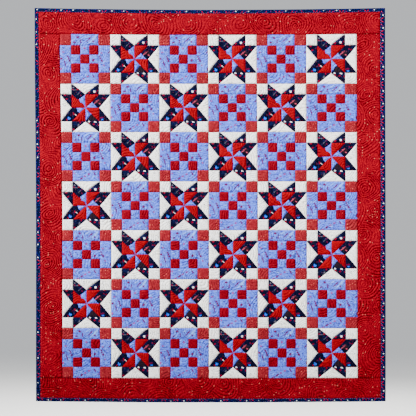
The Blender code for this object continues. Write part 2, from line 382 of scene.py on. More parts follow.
# Specks scattered at random: cells of that size, a share of them filled
def scattered(place, cell, share, radius):
    wobble = noise(place, 1.6 / cell, 1, 0, 1)
    at = place.moved(wobble.scaled(0.35 * cell))
    settings = {"voronoi_dimensions": "2D"}
    away = place.node("TexVoronoi", settings, {"Vector": at, "Scale": 1 / cell}, 0)
    chance = place.node("TexVoronoi", settings, {"Vector": at, "Scale": 1 / cell}, 1)
    filled = chance.channel(0) > (1 - share)
    return (1 - away.smooth(0.7 * radius / cell, 1.2 * radius / cell)) * filled, chance.channel(1)


# Marks charted on the block's own grid: right, down, half length, half width, turn
def charted(place, marks, broad=1.0):
    mask = None
    for right, down, halfLength, halfWidth, turn in marks:
        sockets = {
            "Vector": place,
            "Location": (right, down, 0),
            "Rotation": (0, 0, math.radians(turn)),
            "Scale": (halfLength * broad, halfWidth * broad, 1),
        }
        local = place.node("Mapping", {"vector_type": "TEXTURE"}, sockets)
        mark = 1 - local.length().smooth(0.75, 1.2)
        mask = mark if mask is None else mask.larger(mark)
    return mask


def blockPlace(nodes, wobble):  # units on the block's grid of 17, a little unsteady as print is
    place = nodes.node("UVMap", {"uv_map": "block"})
    unsteady = noise(place, 2.2, 1, 0, 1)
    centred = nodes.node("VectorMath", {"operation": "SUBTRACT"}, {0: unsteady, 1: (0.5, 0.5, 0.5)})
    return place.moved(centred.scaled(wobble))


# White: tone-on-tone print on ivory cotton

whiteCloth = {
    "ground": (248, 247, 243),
    "print": (112, 110, 114),
    "warm": (240, 232, 214),
    "thread": (226, 224, 220),
    "gloss": (241, 240, 237),
    "crease": 0.14,
    "stitch": 0.45,
    "seam": 0.6,
    "seamReach": 0.003,
}


def makeWhite():
    material, place = newCloth("whiteTonalCotton")
    sprig = noise(place, 135, 2, 1.6).smooth(0.53, 0.66)
    colour = dyed(whiteCloth, sprig * 0.8, "ground", "print")
    colour = dyed(whiteCloth, noise(place, 60, 1).smooth(0.5, 0.72) * 0.5, colour, "warm")
    return finishCloth(place, material, colour, whiteCloth)


# Reds: the border's tonal print, the nine-patch squares and the brighter star centres

redCloths = {
    "border": {
        "name": "redBorderCotton",
        "ground": (131, 2, 21),
        "dark": (92, 2, 17),
        "light": (156, 3, 19),
        "speck": (198, 104, 84),
        "speckShare": 0.1,
        "thread": (136, 16, 32),
        "gloss": (128, 4, 24),
        "crease": 0.95,
        "stitch": 1.0,
        "seam": 0.75,
        "seamReach": 0.006,
    },
    "square": {
        "name": "redSquareCotton",
        "ground": (116, 2, 20),
        "dark": (88, 2, 16),
        "light": (132, 3, 21),
        "speck": (150, 30, 40),
        "speckShare": 0.06,
        "thread": (128, 16, 30),
        "gloss": (122, 4, 19),
        "crease": 0.4,
        "stitch": 0.6,
        "seam": 0.1,
    },
    "star": {
        "name": "redStarCotton",
        "ground": (134, 0, 13),
        "dark": (106, 0, 14),
        "light": (150, 0, 10),
        "speck": (160, 8, 16),
        "speckShare": 0.08,
        "thread": (136, 12, 18),
        "gloss": (130, 3, 10),
        "crease": 0.45,
        "stitch": 0.6,
        "seam": 0.1,
    },
    "coral": {
        "name": "coralCotton",
        "ground": (126, 28, 36),
        "dark": (100, 12, 22),
        "light": (162, 48, 50),
        "speck": (206, 84, 72),
        "speckShare": 0.2,
        "thread": (150, 50, 50),
        "gloss": (130, 31, 36),
        "crease": 0.28,
        "stitch": 0.45,
        # its painted seam shade is tinted red
        "paintedSeamShade": (0.95, 0.3, 0.36, 1),
        "seamReach": 0.0042,
        "seam": 0.5,
    },
}


def makeRed(cloth):
    material, place = newCloth(cloth["name"])
    curls = noise(place, 95, 3, 2.2)
    colour = dyed(cloth, curls.smooth(0.36, 0.58), "dark", "ground")
    colour = dyed(cloth, curls.smooth(0.56, 0.74) * 0.8, colour, "light")
    speck, _ = scattered(place, 0.011, cloth["speckShare"], 0.0021)
    colour = dyed(cloth, speck * 0.8, colour, "speck")
    return finishCloth(place, material, colour, cloth)


# Light blue: a washed ground with feathery strokes, and red marks that fall alike in every chain block

blueCloth = {
    "ground": (76, 104, 222),
    "deep": (46, 46, 128),
    "pale": (128, 170, 240),
    "red": (88, 2, 28),
    "rose": (134, 40, 82),
    "navy": (42, 40, 108),
    "thread": (104, 130, 216),
    "gloss": (84, 116, 230),
    "crease": 0.26,
    "stitch": 0.45,
    "seam": 0.3,
    "redMarks": (
        (6.14, 1.12, 0.36, 0.26, 0), (7.14, 2.15, 0.26, 0.17, 90), (7.2, 2.85, 0.28, 0.15, 90),
        (5.13, 2.9, 0.34, 0.22, -20), (9.82, 1.79, 0.98, 0.15, -45), (11.27, 2.57, 0.2, 0.3, 0),
        (2.79, 7.81, 0.3, 0.2, 30), (3.13, 8.45, 0.26, 0.22, 0), (3.46, 9.15, 0.34, 0.24, 10),
        (1.78, 10, 1, 0.16, 70), (13.4, 7.6, 0.24, 0.24, 0), (13.68, 8.35, 0.28, 0.24, 0),
        (14.1, 9.1, 0.3, 0.28, 0), (11.27, 8.82, 0.34, 0.28, -30), (16.5, 6.25, 0.45, 0.15, -55),
        (16.85, 11.83, 0.22, 0.4, 0), (0.45, 8.37, 0.3, 0.28, 0), (11.3, 14.2, 0.6, 0.15, 62),
        (6.9, 15.9, 0.42, 0.22, -40),
    ),
    "roseMarks": (
        (8.37, 4.91, 0.3, 0.3, 0), (1.12, 6.25, 0.34, 0.2, 0), (13.95, 6.47, 0.3, 0.22, 0),
        (14.84, 10.6, 0.3, 0.2, 40), (9.38, 14.4, 0.34, 0.26, 0), (8.04, 15.18, 0.34, 0.22, -30),
        (5.58, 16.74, 0.5, 0.18, -30), (0.33, 11.83, 0.26, 0.36, 0), (4.6, 14.1, 0.26, 0.2, 0),
        (12.4, 15.6, 0.3, 0.16, 50),
    ),
    "paleMarks": (
        (10.9, 2.3, 1.6, 0.22, -42), (11.6, 1.2, 1, 0.3, -42), (8.9, 0.9, 0.9, 0.2, -35),
    ),
}


def makeBlue(name, printed):
    material, place = newCloth(name)
    strokes = noise(stretched(place, 35, (1, 1.7)), 82, 3, 1.0)
    colour = dyed(blueCloth, strokes.smooth(0.5, 0.62) * 0.9, "ground", "deep")
    feathers = noise(stretched(place, -40, (1, 1.9)), 95, 2, 0.8)
    colour = dyed(blueCloth, feathers.smooth(0.56, 0.7) * 0.6, colour, "pale")
    if printed:
        block = blockPlace(place, 0.5)
        dots = noise(block, 1.9, 2, 0.6)
        colour = dyed(blueCloth, dots.smooth(0.66, 0.72) * 0.6, colour, "navy")
        for name, broad, strength in (("pale", 1.0, 0.7), ("rose", 1.3, 0.85), ("red", 1.45, 0.95)):
            mask = charted(block, blueCloth[name + "Marks"], broad) * strength
            colour = dyed(blueCloth, mask, colour, name)
    return finishCloth(place, material, colour, blueCloth)


# Navy: near-black print with white, sky, rose and red marks that fall alike in every star block

navyCloth = {
    "ground": (7, 6, 30),
    "lift": (12, 18, 56),
    "black": (4, 3, 10),
    "charcoal": (30, 19, 24),
    "magenta": (86, 6, 48),
    "red": (122, 2, 30),
    "white": (246, 240, 244),
    "sky": (10, 96, 226),
    "rose": (166, 62, 83),
    "grey": (87, 85, 94),
    "thread": (16, 18, 44),
    "gloss": (12, 18, 56),
    "crease": 0.35,
    "stitch": 0.5,
    "seam": 0.2,
    "redMarks": (
        (11.95, 3.45, 0.36, 0.3, 0), (9.79, 3.28, 0.42, 0.26, -35), (12.6, 2.6, 0.28, 0.34, 0),
        (4.42, 2.09, 0.34, 0.2, 0), (5.97, 2.09, 0.3, 0.24, 40), (1.55, 4.24, 0.46, 0.18, 0),
        (2.27, 5.55, 0.36, 0.26, -30), (3.7, 4.95, 0.34, 0.2, -30), (14.56, 4.12, 0.44, 0.16, 0),
        (14.4, 5.25, 0.3, 0.2, 30), (15.16, 5.43, 0.34, 0.22, -30), (9.67, 13.85, 0.42, 0.32, 0),
        (11.2, 14.1, 0.46, 0.26, -30), (12.75, 14.3, 0.24, 0.4, 0), (4.53, 16.05, 0.26, 0.4, 20),
        (6.68, 13.4, 0.22, 0.44, 0), (2.1, 12.55, 0.26, 0.26, 0), (15.2, 13.05, 0.8, 0.17, -6),
        (4.7, 10.6, 0.5, 0.24, 50),
    ),
    "magentaMarks": (
        (6.92, 4.3, 0.3, 0.3, 0), (6.95, 3.1, 0.4, 0.2, -45), (13.8, 11.8, 0.8, 0.26, -10),
        (3.8, 10.9, 0.3, 0.18, 0),
    ),
    "whiteMarks": (
        (11.55, 2.95, 0.4, 0.3, 35), (9.67, 13.1, 0.33, 0.23, 0), (11.69, 13.25, 0.37, 0.21, 20),
        (5.25, 10.9, 0.32, 0.21, 50),
    ),
    "skyMarks": (
        (2.98, 12.11, 0.56, 0.4, 0), (14.08, 12.4, 0.48, 0.26, 0), (2.75, 11.75, 0.2, 0.14, 0),
    ),
    "roseMarks": (
        (5.8, 11.4, 0.5, 0.22, 50), (11.93, 6.6, 0.9, 0.14, -50), (12.6, 6.2, 0.6, 0.14, -50),
        (13.2, 7.1, 0.4, 0.16, 20),
    ),
    "greyMarks": (
        (6.2, 3.76, 0.62, 0.14, -45), (5.13, 2.33, 0.7, 0.13, 0), (6.09, 14.5, 0.26, 0.5, 20),
        (4.6, 1.4, 0.26, 0.22, 0),
    ),
    "charcoalMarks": ((10.7, 12.00, 1.3, 1.00, 0), (12.9, 6.6, 1.00, 0.8, 0)),
}


def makeNavy():
    material, place = newCloth("navyStarCotton")
    block = blockPlace(place, 0.55)
    cloud = noise(block, 0.75, 3, 0.8)
    colour = dyed(navyCloth, cloud.smooth(0.5, 0.66), "ground", "lift")
    mottle = noise(place, 120, 2, 1.0).smooth(0.52, 0.66)
    colour = dyed(navyCloth, mottle * 0.8, colour, "black")
    speck, chance = scattered(place, 0.0075, 0.22, 0.0011)
    colour = dyed(navyCloth, speck * 0.4, colour, dyed(navyCloth, chance > 0.5, "rose", "grey"))
    for name in ("charcoal", "magenta", "grey", "rose", "white", "sky", "red"):
        mask = charted(block, navyCloth[name + "Marks"]) * 0.9
        colour = dyed(navyCloth, mask, colour, name)
    return finishCloth(place, material, colour, navyCloth)


# Binding: navy cotton with a lively small print

# Its print repeats along the strip. Marks in millimetres: along, in from the front hem, half length,
# half width, turn.
bindingCloth = {
    "ground": (2, 8, 44),
    "deep": (2, 3, 26),
    "blue": (4, 24, 78),
    "royal": (10, 10, 88),
    "pen": (26, 30, 112),
    "grey": (68, 90, 129),
    "mauve": (128, 46, 111),
    "crimson": (190, 4, 56),
    "pink": (206, 24, 70),
    "rose": (138, 41, 58),
    "teal": (84, 112, 160),
    "white": (240, 246, 250),
    "gloss": (20, 34, 106),
    "repeatAlong": 0.0549,
    "fullFrom": 6.5,  # the cloth map from there on, the right side, shows the print in full
    "repeatAcross": 0.019,
    "wobble": 1.4,
    "broad": 0.74,
    # marks that the other sides' slice of the print often lacks, and how fast they come and go
    "missing": {"crimson": 23, "pink": 31, "rose": 27, "white": 19},
    "blueMarks": ((15.4, 4.8, 3.4, 2.6, 0), (48.6, 4.4, 3.8, 2.6, 0)),
    "royalMarks": ((32.3, 14.0, 3.4, 2.4, 0), (49.0, 14.0, 4.0, 2.4, 20), (4.0, 13.6, 2.6, 2.0, 0)),
    "penMarks": ((2.6, 6.6, 3.6, 1.8, -32), (44.0, 14.4, 2.6, 1.4, 0)),
    "greyMarks": ((18.4, 13.8, 2.2, 1.8, 0), (33.0, 2.6, 2.2, 1.5, 0), (9.0, 2.2, 1.8, 1.4, 0)),
    "mauveMarks": ((31.6, 3.0, 1.8, 1.3, 0),),
    "crimsonMarks": ((25.0, 7.6, 6.0, 1.8, -46), (38.4, 7.8, 5.8, 1.8, 50)),
    "pinkMarks": ((51.2, 5.2, 2.5, 2.0, 0),),
    "roseMarks": ((3.4, 9.4, 2.8, 1.3, -35),),
    "tealMarks": ((23.0, 2.6, 2.0, 1.4, 0), (43.2, 3.0, 1.9, 1.3, 0)),
    "whiteMarks": ((11.4, 10.2, 2.9, 2.7, 0),),
}


def makeBinding():
    material, place = newCloth("navyBindingCotton")
    unsteady = noise(place, 90, 1, 0, 1)
    curls = noise(place, 130, 2, 1.8)
    colour = dyed(bindingCloth, curls.smooth(0.4, 0.58), "deep", "ground")
    colour = dyed(bindingCloth, curls.smooth(0.6, 0.72) * 0.8, colour, "blue")
    inRepeat = []
    for axis, size in enumerate((bindingCloth["repeatAlong"], bindingCloth["repeatAcross"])):
        share = place.math("FRACT", place.axis(axis) / size, 0.0)
        stray = (unsteady.channel(axis) - 0.5) * bindingCloth["wobble"] * 2
        inRepeat.append(share * (size * 1000) + stray)
    marked = place.node("CombineXYZ", None, dict(enumerate(inRepeat)))
    sparse = 1 - (place.axis(0) > bindingCloth["fullFrom"])
    for name in ("blue", "royal", "pen", "grey", "mauve", "crimson", "rose", "pink", "teal", "white"):
        mask = charted(marked, bindingCloth[name + "Marks"], bindingCloth["broad"]) * 0.95
        if name in bindingCloth["missing"]:
            missing = 1 - noise(place, bindingCloth["missing"][name], 1).smooth(0.46, 0.54)
            mask = mask * (1 - sparse * missing)
        colour = dyed(bindingCloth, mask, colour, name)
    return finishCloth(place, material, colour, bindingCloth, False)


# Backing: plain cotton, with the quilting stitched through it

backingCloth = {
    "ground": (220, 212, 188),
    "shade": (200, 190, 164),
    "thread": (232, 228, 212),
    "gloss": (220, 212, 188),
    "crease": 0.3,
    "stitch": 0.7,
    "seam": 0,
}


def makeBacking():
    material, place = newCloth("plainBackingCotton")
    cloud = noise(place, 30, 2)
    colour = dyed(backingCloth, cloud.smooth(0.35, 0.7), "shade", "ground")
    return finishCloth(place, material, colour, backingCloth)


# Quilting: swirls in staggered rows, each a spiral of stitches that others echo round

quilting = {
    "step": 0.12,
    "row": 0.104,
    "first": 0.062,
    "shift": 0.009,  # how far a swirl strays from its place
    "core": 0.034,  # nearer than this a place is the swirl's own, and out to its reach by rank
    "reach": 0.084,
    "warp": 0.0095,
    "spread": 0.16,  # how much wider or narrower a swirl's lines lie
    "domeRadius": 0.04,
    "domeLoft": 0.0014,
    "puff": 0.0018,
    "patchLoft": 0.0017,
    "seamHalf": 0.0036,
    "ridgeAtSeam": 0.45,  # how much of a ridge is left in a seam
    "ridgeRound": 0.8,
    "seed": 7,
}
margin = 3  # rows and columns of swirls laid out past the edges


def layOutSwirls():
    random = np.random.default_rng(quilting["seed"])
    rows = int(quiltHeight / quilting["row"]) + 2 * margin + 2
    columns = int(quiltWidth / quilting["step"]) + 2 * margin + 2
    row, column = np.mgrid[0:rows, 0:columns]
    stagger = ((row - margin) % 2) * quilting["step"] / 2
    stray = random.uniform(-quilting["shift"], quilting["shift"], (2, rows, columns))
    right = quilting["first"] + (column - margin) * quilting["step"] + stagger + stray[0]
    up = -(quilting["first"] + (row - margin) * quilting["row"]) + stray[1]
    turn = np.where(random.random((rows, columns)) < 0.5, -1.0, 1.0)
    rank = random.random((rows, columns))
    scale = random.uniform(1 - quilting["spread"], 1 + quilting["spread"], (rows, columns))
    return np.stack((right, up, turn, scale, rank), axis=-1)


swirls = layOutSwirls()


def warped(places):  # no swirl is a true circle
    x, y = places[:, 0], places[:, 1]
    bend = quilting["warp"]
    right = x + bend * np.sin(y * 27 + 1.3) + 0.5 * bend * np.sin(x * 41 + y * 33)
    up = y + bend * np.sin(x * 24 + 0.4) + 0.5 * bend * np.sin(y * 47 - x * 29)
    return np.column_stack((right, up))


def swirlOf(places):  # the swirl that holds each place: its own core first, then the highest rank in reach
    row = np.rint((-places[:, 1] - quilting["first"]) / quilting["row"]).astype(int)
    best = np.full(len(places), -np.inf)
    chosen = np.zeros((len(places), 4))
    for down in (-1, 0, 1):
        near = row + down
        offset = quilting["first"] + (near % 2) * quilting["step"] / 2
        column = np.rint((places[:, 0] - offset) / quilting["step"]).astype(int)
        for along in (-1, 0, 1):
            swirl = swirls[near + margin, column + along + margin]
            away = np.hypot(places[:, 0] - swirl[:, 0], places[:, 1] - swirl[:, 1])
            score = np.where(away < quilting["reach"], swirl[:, 4], -away)
            score = np.where(away < quilting["core"], 2 - away, score)
            better = score > best
            best[better] = score[better]
            chosen[better] = swirl[better, :4]
    return chosen


def fromSwirl(places, chosen):  # places relative to their swirl's middle, mirrored so that all turn alike
    turn, scale = chosen[:, 2], chosen[:, 3]
    right = (places[:, 0] - chosen[:, 0]) * turn * scale
    return np.column_stack((right, (places[:, 1] - chosen[:, 1]) * scale))


def quiltedLift(places):  # rounded ridges between the lines of stitches, and a low dome at each swirl
    inside = fromSwirl(places, swirlOf(places))
    out = np.hypot(inside[:, 0], inside[:, 1])
    ring = out / cotton["stitchPitch"] - np.arctan2(inside[:, 1], inside[:, 0]) / (2 * math.pi)
    ridge = quilting["puff"] * np.abs(np.sin(math.pi * ring)) ** quilting["ridgeRound"]
    dome = quilting["domeLoft"] * np.clip(1 - (out / quilting["domeRadius"]) ** 2, 0, 1)
    return ridge, dome


def gapTo(places, seams):  # distance from each place to the nearest seam
    nearest = np.full(len(places), np.inf)
    for start, end in seams:
        start, along = np.array(start, float), np.array(end, float) - np.array(start, float)
        share = np.clip((places - start) @ along / (along @ along), 0, 1)
        nearest = np.minimum(nearest, np.linalg.norm(places - start - share[:, None] * along, axis=1))
    return nearest


def fetched(rows, name, width=1, kind=np.float32):
    values = np.zeros(len(rows) * width, kind)
    rows.foreach_get(name, values)
    return values


def readPlaces(mesh):
    return fetched(mesh.vertices, "co", 3).reshape(-1, 3).astype(float)


def writePlaces(mesh, places):
    mesh.vertices.foreach_set("co", places.astype(np.float32).ravel())


def loopVertices(mesh):
    return fetched(mesh.loops, "vertex_index", 1, np.int32)


def writeMap(mesh, name, values):
    layer = mesh.uv_layers.get(name) or mesh.uv_layers.new(name=name)
    layer.uv.foreach_set("vector", values.astype(np.float32).ravel())


def writeGaps(mesh, places, seams):
    gaps = gapTo(places, seams)
    mesh.attributes.new("seamGap", "FLOAT", "POINT").data.foreach_set("value", gaps.astype(np.float32))
    return gaps


def smoothFaces(mesh):
    mesh.polygons.foreach_set("use_smooth", np.ones(len(mesh.polygons), bool))


# Gives a flat cloth its maps, lifts it by its own rule and hangs it
def hangCloth(mesh, outOf, seams=None):
    flat = readPlaces(mesh)
    loops = loopVertices(mesh)
    middles = fetched(mesh.polygons, "center", 3)
    sizes = fetched(mesh.polygons, "loop_total", 1, np.int32)
    bent = warped(flat)
    chosen = swirlOf(warped(middles.reshape(-1, 3).astype(float)))
    inside = fromSwirl(bent[loops], np.repeat(chosen, sizes, axis=0))
    writeMap(mesh, "cloth", flat[loops, :2])
    writeMap(mesh, "swirl", inside)
    if seams is None:
        gaps = fetched(mesh.attributes["seamGap"].data, "value")
    else:
        gaps = writeGaps(mesh, flat[:, :2], seams)
    flat[:, 2] = outOf(flat, bent, gaps)
    writePlaces(mesh, hang(flat))
    smoothFaces(mesh)
    mesh.update()


def addPiece(name, mesh, material, slot, *nodes):
    mesh.materials.clear()
    mesh.materials.append(material)
    piece = addObject(name, mesh)
    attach(piece, "root")
    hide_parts(*nodes)
    return piece


def newMesh(name, bm):
    mesh = bpy.data.meshes.new(name)
    bm.to_mesh(mesh)
    bm.free()
    return mesh


# Blocks: patches on a grid of 17 units, right and down from the block's corner

block = {
    "units": 17,
    "corner": 4,
    "middle": 8.5,
    "far": 13,
    "square": 3,
    "cellsPerUnit": 4,
    "lightCloths": ("white", "printBlue", "paleBlue"),
    "rolled": 0.085,  # how far a dark patch rolls over the seam onto a light one, in units
    "rolledReach": 0.5,
    "rolledEnds": 0.4,
}


# The star's centre: four quarters, each a red, a navy and a pale blue patch, sewn a little unevenly
starCentre = [
    (
        "starRed",
        [(4, 4), (6, 5.85), (6.5, 5.45), (6.55, 6.1), (6.8, 6.65), (7.75, 7.1), (8.5, 8.5), (4, 8.5)],
    ),
    ("navy", [(4, 4), (8.5, 4), (6.5, 5.45), (6, 5.85)]),
    ("paleBlue", [(8.5, 4), (8.5, 8.5), (7.75, 7.1), (6.8, 6.65), (6.55, 6.1), (6.5, 5.45)]),
    ("starRed", [(8.5, 4), (13, 4), (10.75, 6.5), (8.5, 8.5)]),
    ("navy", [(13, 4), (13, 8.5), (12.6, 8.5), (10.75, 6.5)]),
    ("paleBlue", [(10.75, 6.5), (12.6, 8.5), (8.5, 8.5)]),
    ("starRed", [(8.5, 8.5), (13, 8.5), (13, 13), (10.45, 10.6)]),
    ("navy", [(13, 13), (8.5, 13), (10.45, 10.6)]),
    ("paleBlue", [(8.5, 8.5), (10.45, 10.6), (8.5, 13)]),
    ("starRed", [(8.5, 8.5), (8.5, 13), (4, 13), (6.5, 10.25)]),
    ("navy", [(4, 8.5), (5.4, 8.5), (5.85, 9.7), (6.5, 10.25), (4, 13)]),
    ("paleBlue", [(5.4, 8.5), (8.5, 8.5), (6.5, 10.25), (5.85, 9.7)]),
]


def square(left, top, right, bottom):
    return [(left, top), (right, top), (right, bottom), (left, bottom)]


def turned(outline, turns):
    for _ in range(turns):
        outline = [(block["units"] - down, right) for right, down in outline]
    return outline


def allRound(patches):  # the same patches at each of the block's four sides
    return [(cloth, turned(outline, turns)) for turns in range(4) for cloth, outline in patches]


def starPatches():
    corner, middle, far = block["corner"], block["middle"], block["far"]
    outer = [
        ("white", square(0, 0, corner, corner)),
        ("white", [(corner, 0), (far, 0), (middle, corner)]),
        ("navy", [(corner, 0), (middle, corner), (corner, corner)]),
        ("navy", [(far, 0), (far, corner), (middle, corner)]),
    ]
    return allRound(outer) + starCentre


def chainPatches():
    corner, far, size = block["corner"], block["far"], block["square"]
    sidePatch = ("printBlue", square(corner, 0, far, corner))
    patches = allRound([("coral", square(0, 0, corner, corner)), sidePatch])
    for row in range(3):
        for column in range(3):
            left, top = corner + column * size, corner + row * size
            cloth = "squareRed" if (row + column) % 2 == 0 else "printBlue"
            patches.append((cloth, square(left, top, left + size, top + size)))
    return patches


def sides(outline):
    return zip(outline, outline[1:] + outline[:1])


def insideOutline(outline, right, down):
    inside = False
    for (x, y), (nextX, nextY) in sides(outline):
        if (y > down) != (nextY > down) and right < x + (nextX - x) * (down - y) / (nextY - y):
            inside = not inside
    return inside


# The seams between a dark and a light patch: start, end and the way towards the light one
def seamsToLight(patches):
    light = block["lightCloths"]
    steps = 2 * block["cellsPerUnit"]
    chain = any(cloth == "coral" for cloth, outline in patches)
    seams = []
    for cloth, outline in patches:
        if cloth in light:
            continue
        for start, end in sides(outline):
            start, end = np.array(start, float), np.array(end, float)
            length = np.linalg.norm(end - start)
            along = (end - start) / length
            out = np.array((along[1], -along[0]))
            if insideOutline(outline, *((start + end) / 2 + out * 0.05)):
                out = -out
            shares = np.linspace(0, 1, max(int(length * steps), 1) + 1)
            run = None
            for low, high in zip(shares, shares[1:]):
                beyond = start + along * length * (low + high) / 2 + out * 0.05
                across = [other for other, edges in patches if insideOutline(edges, *beyond)]
                lit = across[0] in light if across else chain
                if lit and run is None:
                    run = low
                if run is not None and (not lit or high == 1):
                    stop = high if lit else low
                    seams.append((start + along * length * run, start + along * length * stop, out))
                    run = None
    if not chain:  # a chain block's dark corners lie beyond these parts of a star block's sides
        for turns in range(4):
            for part in ((0, block["corner"]), (block["far"], block["units"])):
                corners = turned([(part[0], 0), (part[1], 0), (part[0], 1)], turns)
                start, end, inner = (np.array(corner, float) for corner in corners)
                seams.append((start, end, inner - start))
    return seams


def rollSeams(places, patches):
    moved = places.copy()
    for start, end, out in seamsToLight(patches):
        length = np.linalg.norm(end - start)
        along = (end - start) / length
        onSeam = (places - start) @ along
        near = 1 - np.abs((places - start) @ out) / block["rolledReach"]
        inside = np.minimum(onSeam, length - onSeam) / block["rolledEnds"]
        moved += np.outer(np.clip(near, 0, 1) * np.clip(inside, 0, 1), out) * block["rolled"]
    return moved


# One block as a fine grid, cut along its slanting seams, each face marked with its fabric
def buildBlock(name, patches, cloths):
    units, cells = block["units"], block["units"] * block["cellsPerUnit"]
    bm = bmesh.new()
    placed = Matrix.Translation((units / 2, -units / 2, 0))
    bmesh.ops.create_grid(bm, x_segments=cells, y_segments=cells, size=units / 2, matrix=placed)
    for cloth, outline in patches:
        for start, end in sides(outline):
            if start[0] == end[0] or start[1] == end[1]:
                continue
            low = (min(start[0], end[0]), -max(start[1], end[1]))
            high = (max(start[0], end[0]), -min(start[1], end[1]))
            crossed = []
            for face in bm.faces:
                middle = face.calc_center_median()
                if low[0] < middle.x < high[0] and low[1] < middle.y < high[1]:
                    crossed.append(face)
            geom = crossed + list({edge for face in crossed for edge in face.edges})
            geom += list({vert for face in crossed for vert in face.verts})
            normal = (end[1] - start[1], end[0] - start[0], 0)
            through = (start[0], -start[1], 0)
            bmesh.ops.bisect_plane(bm, geom=geom, dist=1e-4, plane_co=through, plane_no=normal)
    for face in bm.faces:
        middle = face.calc_center_median()
        for cloth, outline in patches:
            if insideOutline(outline, middle.x, -middle.y):
                face.material_index = cloths.index(cloth)
                break
    mesh = newMesh(name, bm)
    scale = np.array((quilt["blockWidth"], quilt["blockHeight"])) / units
    places = readPlaces(mesh)
    down = scale * (1, -1)
    seams = [(np.array(a) * down, np.array(b) * down) for _, outline in patches for a, b in sides(outline)]
    writeGaps(mesh, places[:, :2] * scale, seams)
    loops = loopVertices(mesh)
    writeMap(mesh, "block", places[loops, :2] * (1, -1))
    places[:, :2] = rollSeams(places[:, :2] * (1, -1), patches) * (1, -1)
    writePlaces(mesh, places)
    mesh.transform(Matrix.Diagonal((*scale, 1, 1)))
    return mesh


# One fabric's patches out of a block, copied to each place where that block is sewn in
def gatherCloth(name, sources, index):
    whole = bmesh.new()
    for mesh, odd in sources:
        part = bmesh.new()
        part.from_mesh(mesh)
        others = [face for face in part.faces if face.material_index != index]
        bmesh.ops.delete(part, geom=others, context="FACES")
        if not part.faces:
            part.free()
            continue
        patch = newMesh(name + "Patch", part)
        for row in range(quilt["rows"]):
            for column in range(quilt["columns"]):
                if (row + column) % 2 != odd:
                    continue
                before = len(whole.verts)
                whole.from_mesh(patch)
                whole.verts.ensure_lookup_table()
                right = quilt["left"] + column * quilt["blockWidth"]
                down = quilt["top"] + row * quilt["blockHeight"]
                bmesh.ops.translate(whole, verts=whole.verts[before:], vec=Vector((right, -down, 0)))
        bpy.data.meshes.remove(patch)
    return newMesh(name, whole)


def trimToField(mesh):  # the borders' seams stay straight
    places = readPlaces(mesh)
    reach = 1.2 * block["rolled"] * quilt["blockWidth"] / block["units"]
    for axis, seams in ((0, seamsAcross), (1, -seamsDown)):
        for edge in (seams[0], seams[-1]):
            places[:, axis] = np.where(np.abs(places[:, axis] - edge) < reach, edge, places[:, axis])
    writePlaces(mesh, places)


# How the cloth rises from its seams: the loft and domes in full between them, the ridges less in them
def raised(bent, gaps, loft):
    ridge, dome = quiltedLift(bent)
    clear = 1 - np.exp(-((gaps / quilting["seamHalf"]) ** 2))
    left = quilting["ridgeAtSeam"]
    return clear * (loft + dome) + ridge * (left + (1 - left) * clear)


def patchOut(flat, bent, gaps):
    return quilt["seamOut"] + raised(bent, gaps, quilting["patchLoft"])


def buildPatchwork():
    cloths = {
        "white": makeWhite(),
        "navy": makeNavy(),
        "starRed": makeRed(redCloths["star"]),
        "squareRed": makeRed(redCloths["square"]),
        "coral": makeRed(redCloths["coral"]),
        "printBlue": makeBlue("lightBluePrintCotton", True),
        "paleBlue": makeBlue("lightBlueCotton", False),
    }
    names = list(cloths)
    sources = [
        (buildBlock("chainBlock", chainPatches(), names), 0),
        (buildBlock("starBlock", starPatches(), names), 1),
    ]
    pieces = []
    for index, name in enumerate(names):
        mesh = gatherCloth(name + "Patches", sources, index)
        trimToField(mesh)
        hangCloth(mesh, patchOut)
        pieces.append(addPiece(name + "Patches", mesh, cloths[name], "pieced_cotton", "pieced_blocks"))
        print(name, "patches:", len(mesh.polygons), "faces")
    return pieces


# Borders: four strips, quilted like the blocks and pressed flat where the binding grips them

border = {
    "cell": 0.0026,
    "loft": 0.0012,
    "tuck": 0.004,  # how far it goes in under the binding
    "tuckDip": 0.0002,
    "gripReach": 0.004,  # how soon it rises from the binding's hem
    "edgeReach": 0.05,  # where it starts to thicken towards the edge
}


def gridMesh(name, across, down, placed):
    bm = bmesh.new()
    bmesh.ops.create_grid(bm, x_segments=across, y_segments=down, size=0.5, matrix=placed)
    return newMesh(name, bm)


def flatGrid(name, left, top, right, bottom, cell):
    width, height = right - left, bottom - top
    middle = Matrix.Translation(((left + right) / 2, -(top + bottom) / 2, 0))
    placed = middle @ Matrix.Diagonal((width, height, 1, 1))
    return gridMesh(name, math.ceil(width / cell), math.ceil(height / cell), placed)


def fromEdge(flat):  # distance in from the quilt's nearest edge
    across, down = flat[:, 0], -flat[:, 1]
    return np.min((across, quiltWidth - across, down, quiltHeight - down), axis=0)


def borderOut(flat, bent, gaps):
    free = np.clip(fromEdge(flat) - quilt["bindingWidth"], 0, None)
    past = 1 - np.exp(-((free / border["gripReach"]) ** 2))
    thicker = (quilt["edgeOut"] - quilt["seamOut"]) * (1 - eased(free / border["edgeReach"]))
    base = quilt["seamOut"] + thicker
    return base - border["tuckDip"] * (1 - past) + past * raised(bent, gaps, border["loft"])


